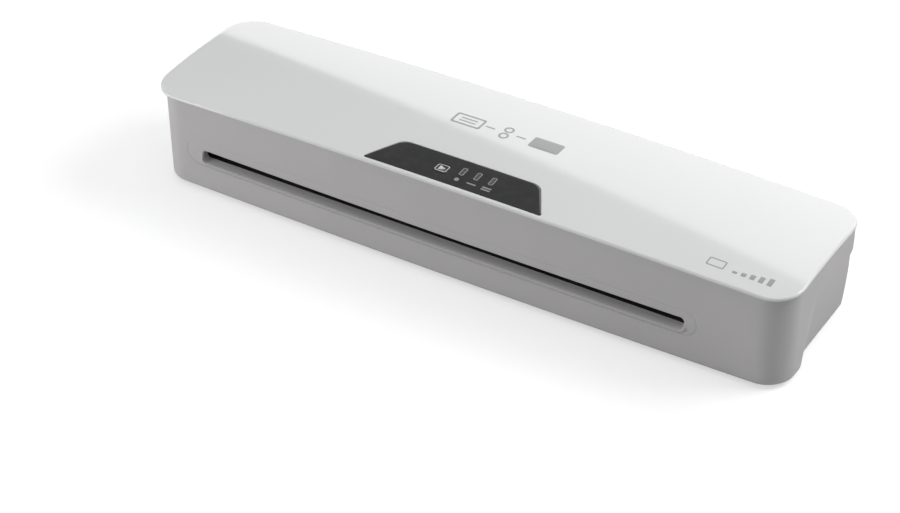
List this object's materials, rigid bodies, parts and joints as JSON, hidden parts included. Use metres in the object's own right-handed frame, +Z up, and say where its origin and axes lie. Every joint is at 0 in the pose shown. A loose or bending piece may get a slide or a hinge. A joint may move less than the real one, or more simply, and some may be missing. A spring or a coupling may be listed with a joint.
{
  "type": "pouch laminator",
  "caption": "Desktop pouch laminator: long grey body under a white crowned cover, front feed slot, rear delivery slot, start button and lights on a dark panel.",
  "frame": {"origin": "on the table under the middle of the machine, level with the soles of the feet", "axes": "+X along the machine, +Y from the feeding side to the delivery side, +Z up"},
  "size_m": [0.43, 0.1056, 0.0726],
  "materials": {
    "cover_white": "satin-gloss white ABS",
    "panel_black": "gloss black acrylic",
    "lens_clear": "frosted light guide",
    "body_grey": "fine-textured grey ABS",
    "guide_black": "matt black PBT",
    "rocker_black": "gloss black nylon",
    "trim_grey": "matt dark grey ABS",
    "rubber_dark": "matt",
    "screw_steel": "zinc plated",
    "plate_steel": "galvanised sheet",
    "rod_steel": "turned bright steel",
    "silicone": "matt red-brown silicone",
    "gear_nylon": "natural nylon",
    "motor_zinc": "plated can",
    "shoe_aluminium": "extruded",
    "heater_film": "polyimide film",
    "board_green": "solder resist",
    "led_white": "moulded",
    "component_dark": "moulded",
    "component_yellow": "moulded"
  },
  "bodies": {
    "frame": {"top_cover": "cover_white", "control_panel": "panel_black", "indicator_lenses": "lens_clear", "base_housing": "body_grey", "rubber_feet": "rubber_dark", "cover_screws": "screw_steel", "control_board": "board_green", "board_screws": "screw_steel", "start_switch": "guide_black", "indicator_leds": "led_white", "entry_bezel": "body_grey", "entry_guide": "guide_black", "exit_guide": "guide_black", "cord_gland": "rubber_dark", "switch_frame": "guide_black", "side_plate_left": "plate_steel", "side_plate_right": "plate_steel", "tie_rods": "rod_steel", "plate_screws": "screw_steel", "frame_screws": "screw_steel", "lower_bushes": "gear_nylon", "pressure_springs": "rod_steel", "idler_pin": "rod_steel", "idler_clip": "screw_steel", "bracket_standoffs": "rod_steel", "motor_bracket": "plate_steel", "motor_housing": "motor_zinc", "heater_shoe_lower": "shoe_aluminium", "heater_element_lower": "heater_film", "power_board": "board_green", "power_posts": "gear_nylon", "power_relay": "component_dark", "mains_capacitor": "component_yellow", "power_transformer": "component_dark"},
    "button": {"start_button": "panel_black"},
    "rocker": {"mains_rocker": "rocker_black"},
    "release": {"release_bar": "plate_steel", "release_knob": "trim_grey"},
    "carriage": {"pressure_plate_left": "plate_steel", "pressure_plate_right": "plate_steel", "upper_bushes": "gear_nylon", "heater_shoe_upper": "shoe_aluminium", "heater_element_upper": "heater_film", "thermostat": "component_dark", "thermal_fuse": "component_dark"},
    "hot_lower": {"hot_lower_core": "rod_steel", "hot_lower_sleeve": "silicone", "hot_lower_gear": "gear_nylon"},
    "hot_upper": {"hot_upper_core": "rod_steel", "hot_upper_sleeve": "silicone", "hot_upper_gear": "gear_nylon"},
    "cold_lower": {"cold_lower_core": "rod_steel", "cold_lower_sleeve": "silicone", "cold_lower_gear": "gear_nylon"},
    "cold_upper": {"cold_upper_core": "rod_steel", "cold_upper_sleeve": "silicone", "cold_upper_gear": "gear_nylon"},
    "idler": {"idler_gear": "gear_nylon"},
    "rotor": {"motor_shaft": "rod_steel", "motor_pinion": "gear_nylon"}
  },
  "joints": [
    {"name": "start_press", "type": "slide", "parent": "frame", "child": "button", "axis": [0, 0, -1], "range_m": [0, 0.0006], "stiffness_N_per_m": 600, "springref_m": -0.0004},
    {"name": "mains_switch", "type": "hinge", "parent": "frame", "child": "rocker", "pos_m": [0.186, 0.0396, 0.02668], "axis": [1, 0, 0], "range_deg": [-20, 0]},
    {"name": "carriage_lift", "type": "slide", "parent": "frame", "child": "carriage", "axis": [0, 0, 1], "range_m": [0, 0.0013], "stiffness_N_per_m": 3000, "springref_m": -0.002, "deforming": ["pressure_springs"]},
    {"name": "release_slide", "type": "slide", "parent": "frame", "child": "release", "axis": [1, 0, 0], "range_m": [0, 0.01001]},
    {"name": "hot_lower_spin", "type": "hinge", "parent": "frame", "child": "hot_lower", "pos_m": [0, -0.019, 0.0184], "axis": [1, 0, 0], "continuous": true},
    {"name": "hot_upper_spin", "type": "hinge", "parent": "carriage", "child": "hot_upper", "pos_m": [0, -0.019, 0.0384], "axis": [1, 0, 0], "continuous": true},
    {"name": "cold_lower_spin", "type": "hinge", "parent": "frame", "child": "cold_lower", "pos_m": [0, 0.015, 0.0184], "axis": [1, 0, 0], "continuous": true},
    {"name": "cold_upper_spin", "type": "hinge", "parent": "carriage", "child": "cold_upper", "pos_m": [0, 0.015, 0.0384], "axis": [1, 0, 0], "continuous": true},
    {"name": "idler_spin", "type": "hinge", "parent": "frame", "child": "idler", "pos_m": [0, -0.002, 0.0184], "axis": [1, 0, 0], "continuous": true},
    {"name": "motor_spin", "type": "hinge", "parent": "frame", "child": "rotor", "pos_m": [0, -0.002, 0.0314], "axis": [1, 0, 0], "continuous": true}
  ],
  "couplings": [
    {"joint": "release_slide", "follows": "carriage_lift", "ratio": 7.6923},
    {"joint": "hot_upper_spin", "follows": "hot_lower_spin", "ratio": -1},
    {"joint": "cold_lower_spin", "follows": "hot_lower_spin", "ratio": 1},
    {"joint": "cold_upper_spin", "follows": "hot_lower_spin", "ratio": -1},
    {"joint": "idler_spin", "follows": "hot_lower_spin", "ratio": -1.4286},
    {"joint": "motor_spin", "follows": "hot_lower_spin", "ratio": 1.6667}
  ]
}
